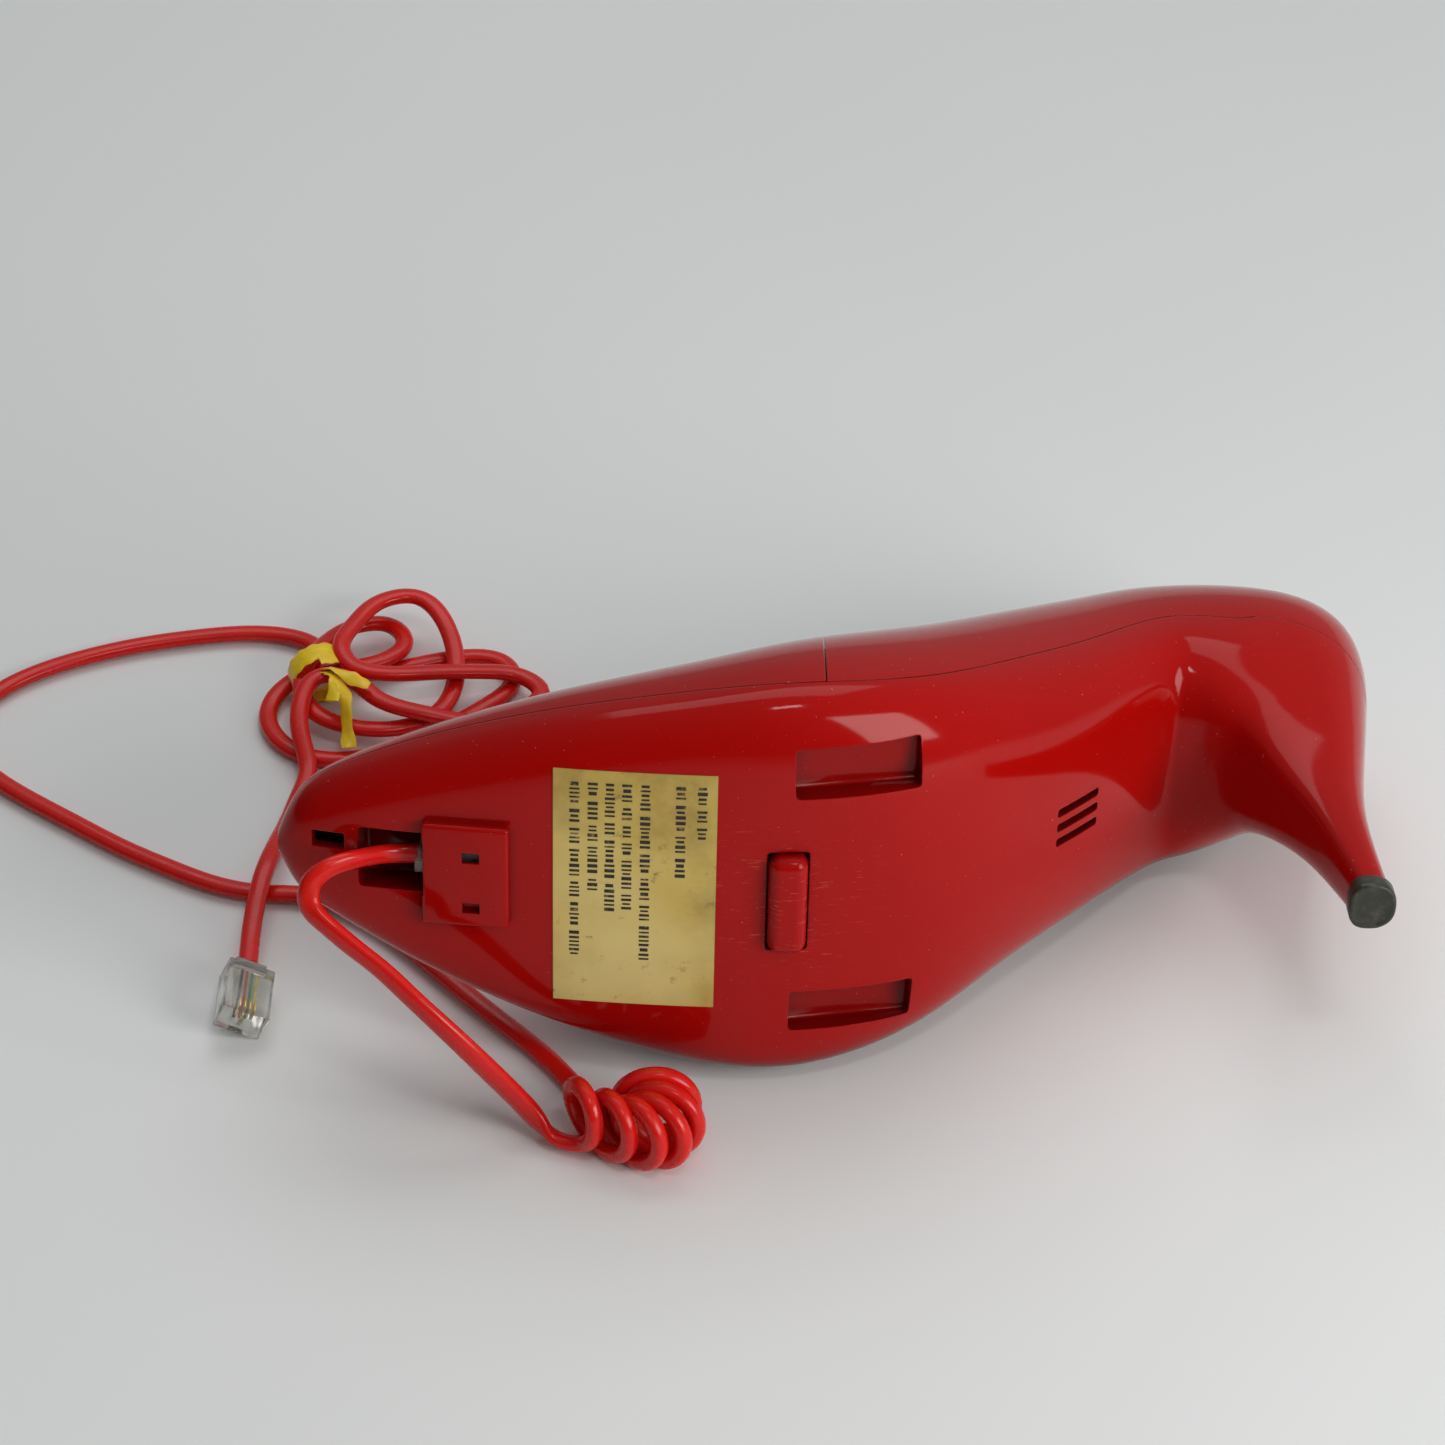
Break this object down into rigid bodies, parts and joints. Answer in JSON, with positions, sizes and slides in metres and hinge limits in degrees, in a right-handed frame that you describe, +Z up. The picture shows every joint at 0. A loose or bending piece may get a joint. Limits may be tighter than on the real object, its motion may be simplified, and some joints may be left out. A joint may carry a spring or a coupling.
{
  "type": "novelty telephone",
  "caption": "Telephone shaped like a high-heel pump, lying on its side, with a keypad inside the shoe, a curly cord and a looped line cord with a clear plug.",
  "frame": {"origin": "floor point under the middle of the pump without its cord", "axes": "+X from the toe to the heel, +Y away from the sole, +Z up from the floor the pump lies on"},
  "size_m": [0.2975, 0.1761, 0.0844],
  "materials": {
    "red_plastic": "high gloss red moulding",
    "black_rubber": "dull black rubber",
    "aged_paper": "thin yellowed label stock",
    "black_plastic": "satin black plastic",
    "cream_plastic": "smooth cream keys",
    "black_lining": "grained black panel",
    "grey_rubber": "conductive rubber mat",
    "circuit_board": "green solder mask",
    "steel": "plated steel",
    "brass": "brass sounder disc",
    "clear_plastic": "clear moulded plug",
    "red_cord": "flexible glossy cord jacket",
    "yellow_tie": "yellow twist tie over wire"
  },
  "bodies": {
    "handset": {"coiled_cord": "red_cord", "cord_bundle": "red_cord", "heel_tip": "black_rubber", "hook_switch": "black_plastic", "hook_switch_plunger": "red_plastic", "insole_panel": "black_lining", "jack_plug": "clear_plastic", "keypad_board": "circuit_board", "keypad_faceplate": "black_plastic", "keypad_mat": "grey_rubber", "line_cord": "red_cord", "line_plug": "clear_plastic", "lower_shell": "red_plastic", "main_board": "circuit_board", "microphone_capsule": "steel", "modular_jack": "black_plastic", "near_cord": "red_cord", "quarter_shell": "red_plastic", "rating_label": "aged_paper", "receiver_capsule": "black_plastic", "ringer_disc": "brass", "shell_screw_lower": "steel", "shell_screw_upper": "steel", "tail_cord": "red_cord", "twist_tie": "yellow_tie", "vamp_shell": "red_plastic"},
    "hook_bar": {"hook_switch_bar": "red_plastic"},
    "button_1": {"key_1": "cream_plastic"},
    "button_2": {"key_2": "cream_plastic"},
    "button_3": {"key_3": "cream_plastic"},
    "button_4": {"key_4": "cream_plastic"},
    "button_5": {"key_5": "cream_plastic"},
    "button_6": {"key_6": "cream_plastic"},
    "button_7": {"key_7": "cream_plastic"},
    "button_8": {"key_8": "cream_plastic"},
    "button_9": {"key_9": "cream_plastic"},
    "button_star": {"key_star": "cream_plastic"},
    "button_0": {"key_0": "cream_plastic"},
    "button_hash": {"key_hash": "cream_plastic"}
  },
  "joints": [
    {"name": "hook_bar_slide", "type": "slide", "parent": "handset", "child": "hook_bar", "axis": [-0.004, 0.9816, -0.1908], "range_m": [0, 0.0025], "stiffness_N_per_m": 150, "springref_m": -0.001},
    {"name": "key_1_press", "type": "slide", "parent": "handset", "child": "button_1", "axis": [0.1313, -0.9736, 0.1865], "range_m": [0, 0.0012], "stiffness_N_per_m": 300, "springref_m": -0.0005},
    {"name": "key_2_press", "type": "slide", "parent": "handset", "child": "button_2", "axis": [0.1313, -0.9736, 0.1865], "range_m": [0, 0.0012], "stiffness_N_per_m": 300, "springref_m": -0.0005},
    {"name": "key_3_press", "type": "slide", "parent": "handset", "child": "button_3", "axis": [0.1313, -0.9736, 0.1865], "range_m": [0, 0.0012], "stiffness_N_per_m": 300, "springref_m": -0.0005},
    {"name": "key_4_press", "type": "slide", "parent": "handset", "child": "button_4", "axis": [0.1313, -0.9736, 0.1865], "range_m": [0, 0.0012], "stiffness_N_per_m": 300, "springref_m": -0.0005},
    {"name": "key_5_press", "type": "slide", "parent": "handset", "child": "button_5", "axis": [0.1313, -0.9736, 0.1865], "range_m": [0, 0.0012], "stiffness_N_per_m": 300, "springref_m": -0.0005},
    {"name": "key_6_press", "type": "slide", "parent": "handset", "child": "button_6", "axis": [0.1313, -0.9736, 0.1865], "range_m": [0, 0.0012], "stiffness_N_per_m": 300, "springref_m": -0.0005},
    {"name": "key_7_press", "type": "slide", "parent": "handset", "child": "button_7", "axis": [0.1313, -0.9736, 0.1865], "range_m": [0, 0.0012], "stiffness_N_per_m": 300, "springref_m": -0.0005},
    {"name": "key_8_press", "type": "slide", "parent": "handset", "child": "button_8", "axis": [0.1313, -0.9736, 0.1865], "range_m": [0, 0.0012], "stiffness_N_per_m": 300, "springref_m": -0.0005},
    {"name": "key_9_press", "type": "slide", "parent": "handset", "child": "button_9", "axis": [0.1313, -0.9736, 0.1865], "range_m": [0, 0.0012], "stiffness_N_per_m": 300, "springref_m": -0.0005},
    {"name": "key_star_press", "type": "slide", "parent": "handset", "child": "button_star", "axis": [0.1313, -0.9736, 0.1865], "range_m": [0, 0.0012], "stiffness_N_per_m": 300, "springref_m": -0.0005},
    {"name": "key_0_press", "type": "slide", "parent": "handset", "child": "button_0", "axis": [0.1313, -0.9736, 0.1865], "range_m": [0, 0.0012], "stiffness_N_per_m": 300, "springref_m": -0.0005},
    {"name": "key_hash_press", "type": "slide", "parent": "handset", "child": "button_hash", "axis": [0.1313, -0.9736, 0.1865], "range_m": [0, 0.0012], "stiffness_N_per_m": 300, "springref_m": -0.0005}
  ]
}
